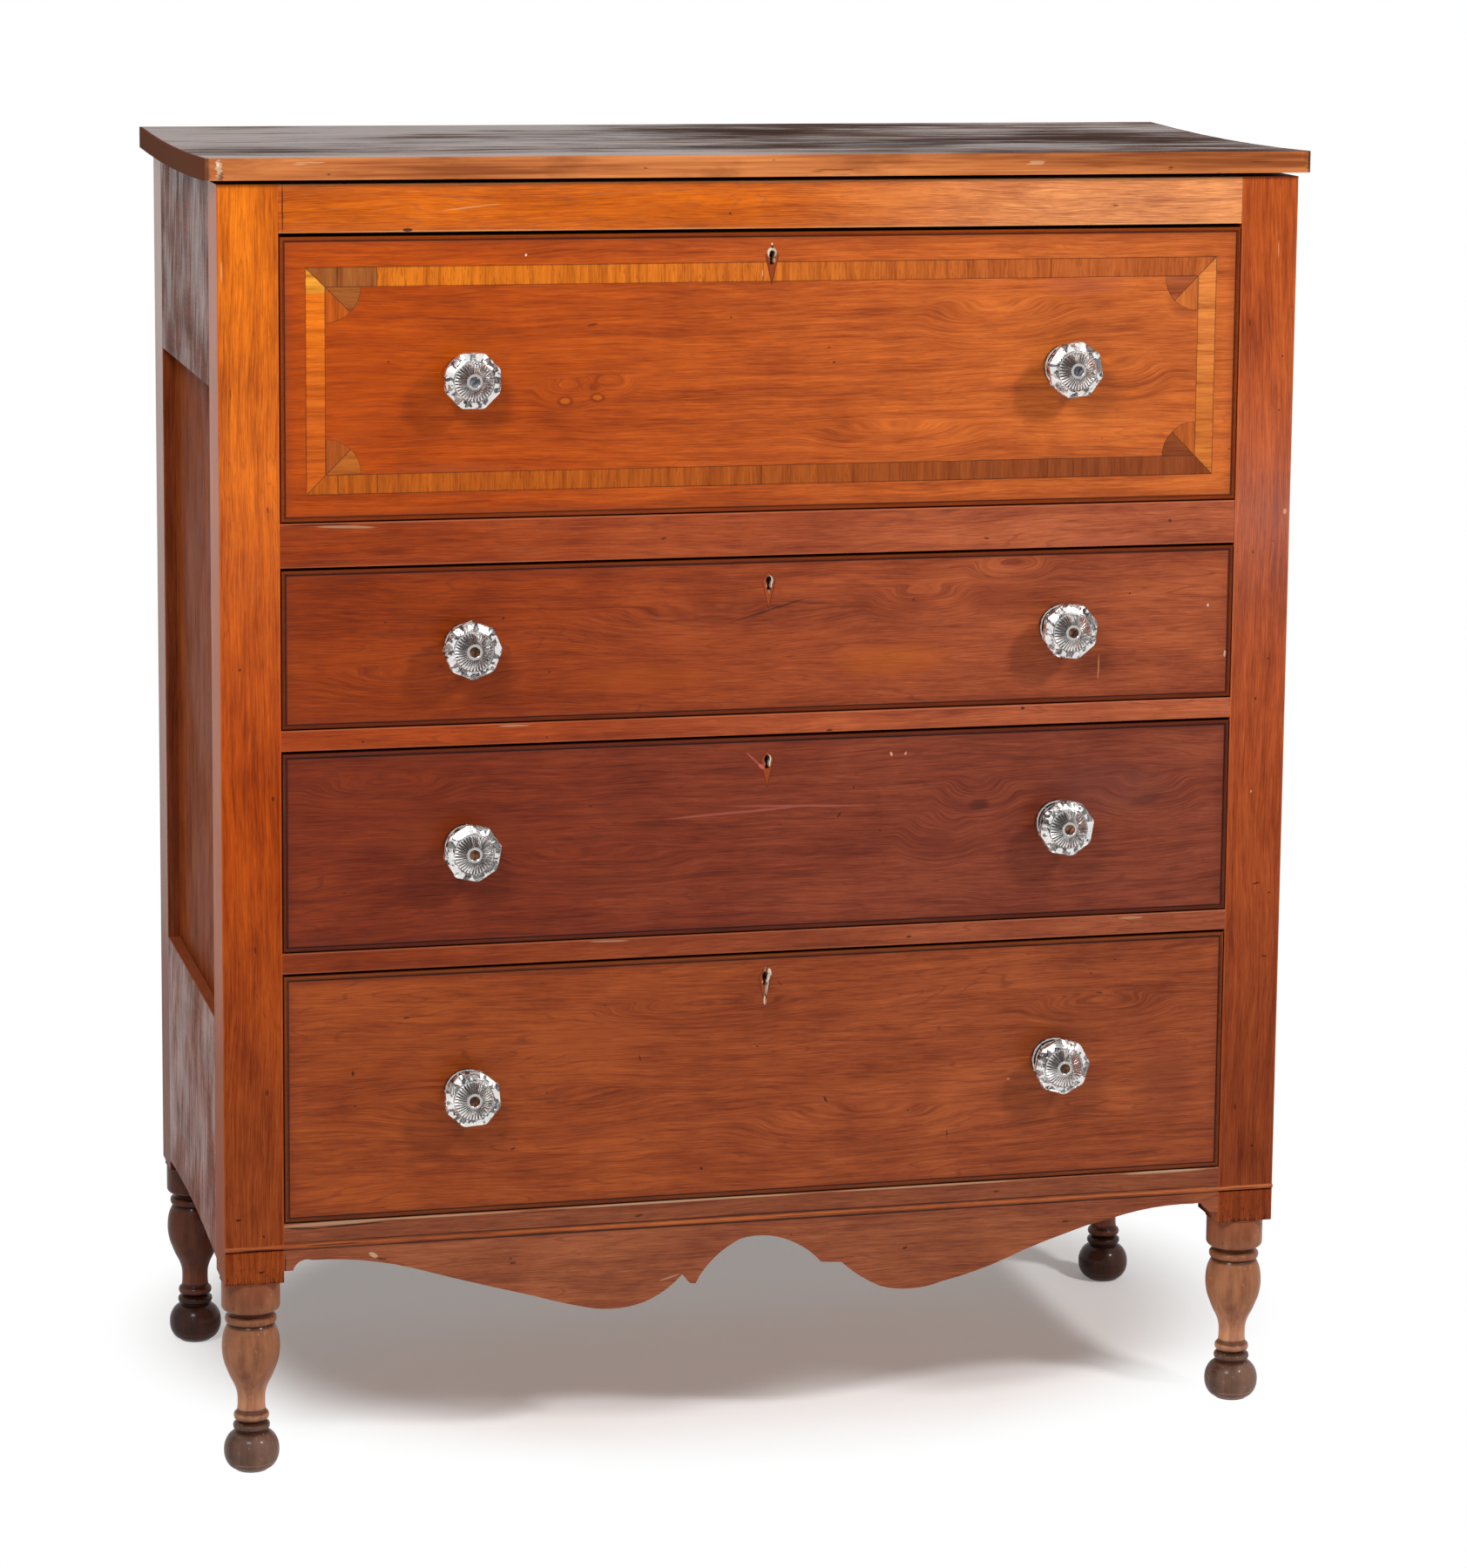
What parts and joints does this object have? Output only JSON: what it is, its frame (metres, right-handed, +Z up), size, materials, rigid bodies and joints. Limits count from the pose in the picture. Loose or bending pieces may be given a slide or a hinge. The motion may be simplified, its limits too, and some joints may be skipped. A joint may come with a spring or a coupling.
{
  "type": "chest of drawers",
  "caption": "Tall chest of graduated drawers on turned legs with ball feet, with glass knobs, a scrolled apron, panelled sides and an inlaid top drawer.",
  "frame": {"origin": "on the floor under the middle of the whole chest's box", "axes": "+Z up, -Y out of the drawer fronts, +X to the right seen from the front"},
  "size_m": [1.044, 0.51, 1.2219],
  "materials": {
    "cherry_post": "varnished cherry, vertical grain, worn",
    "cherry_rail": "varnished cherry, horizontal grain, worn edges",
    "cherry_front": "varnished figured cherry, warm red brown",
    "cherry_side": "aged cherry under a hazy varnish",
    "cherry_top": "dark polished cherry with worn streaks",
    "bead_wood": "dark stained bead",
    "banding_wood": "light inlaid veneer, varnished",
    "kite_wood": "brown inlaid veneer, varnished",
    "poplar": "bare secondary wood, yellowed",
    "knob_glass": "clear pressed glass",
    "bolt_iron": "browned iron",
    "lock_brass": "tarnished brass"
  },
  "bodies": {
    "carcass": {"top_board": "cherry_top", "front_left_post": "cherry_post", "front_right_post": "cherry_post", "rear_left_post": "cherry_post", "rear_right_post": "cherry_post", "top_front_rail": "cherry_rail", "upper_divider_rail": "cherry_rail", "middle_divider_rail": "cherry_rail", "lower_divider_rail": "cherry_rail", "bottom_front_rail": "cherry_rail", "front_apron": "cherry_rail", "base_bead": "cherry_rail", "left_upper_side_rail": "cherry_side", "right_upper_side_rail": "cherry_side", "left_lower_side_rail": "cherry_side", "right_lower_side_rail": "cherry_side", "side_panels": "cherry_side", "rear_rails": "poplar", "back_boards": "poplar", "drawer_runners": "poplar"},
    "drawer_1": {"drawer_1_front": "cherry_front", "drawer_1_sides": "poplar", "drawer_1_back": "poplar", "drawer_1_bottom": "poplar", "drawer_1_cock_beads": "bead_wood", "drawer_1_glass_knobs": "knob_glass", "drawer_1_knob_bolts": "bolt_iron", "drawer_1_lock": "lock_brass", "drawer_1_inlay": "banding_wood"},
    "lock_bolt_1": {"drawer_1_lock_bolt": "lock_brass"},
    "drawer_2": {"drawer_2_front": "cherry_front", "drawer_2_sides": "poplar", "drawer_2_back": "poplar", "drawer_2_bottom": "poplar", "drawer_2_cock_beads": "bead_wood", "drawer_2_glass_knobs": "knob_glass", "drawer_2_knob_bolts": "bolt_iron", "drawer_2_lock": "lock_brass", "drawer_2_inlay": "kite_wood"},
    "lock_bolt_2": {"drawer_2_lock_bolt": "lock_brass"},
    "drawer_3": {"drawer_3_front": "cherry_front", "drawer_3_sides": "poplar", "drawer_3_back": "poplar", "drawer_3_bottom": "poplar", "drawer_3_cock_beads": "bead_wood", "drawer_3_glass_knobs": "knob_glass", "drawer_3_knob_bolts": "bolt_iron", "drawer_3_lock": "lock_brass", "drawer_3_inlay": "kite_wood"},
    "lock_bolt_3": {"drawer_3_lock_bolt": "lock_brass"},
    "drawer_4": {"drawer_4_front": "cherry_front", "drawer_4_sides": "poplar", "drawer_4_back": "poplar", "drawer_4_bottom": "poplar", "drawer_4_cock_beads": "bead_wood", "drawer_4_glass_knobs": "knob_glass", "drawer_4_knob_bolts": "bolt_iron", "drawer_4_lock": "lock_brass", "drawer_4_inlay": "kite_wood"},
    "lock_bolt_4": {"drawer_4_lock_bolt": "lock_brass"}
  },
  "joints": [
    {"name": "drawer_1_slide", "type": "slide", "parent": "carcass", "child": "drawer_1", "axis": [0, -1, 0], "range_m": [0, 0.3]},
    {"name": "lock_bolt_1_slide", "type": "slide", "parent": "drawer_1", "child": "lock_bolt_1", "axis": [0, 0, 1], "range_m": [0, 0.009]},
    {"name": "drawer_2_slide", "type": "slide", "parent": "carcass", "child": "drawer_2", "axis": [0, -1, 0], "range_m": [0, 0.3]},
    {"name": "lock_bolt_2_slide", "type": "slide", "parent": "drawer_2", "child": "lock_bolt_2", "axis": [0, 0, 1], "range_m": [0, 0.009]},
    {"name": "drawer_3_slide", "type": "slide", "parent": "carcass", "child": "drawer_3", "axis": [0, -1, 0], "range_m": [0, 0.3]},
    {"name": "lock_bolt_3_slide", "type": "slide", "parent": "drawer_3", "child": "lock_bolt_3", "axis": [0, 0, 1], "range_m": [0, 0.009]},
    {"name": "drawer_4_slide", "type": "slide", "parent": "carcass", "child": "drawer_4", "axis": [0, -1, 0], "range_m": [0, 0.3]},
    {"name": "lock_bolt_4_slide", "type": "slide", "parent": "drawer_4", "child": "lock_bolt_4", "axis": [0, 0, 1], "range_m": [0, 0.009]}
  ]
}
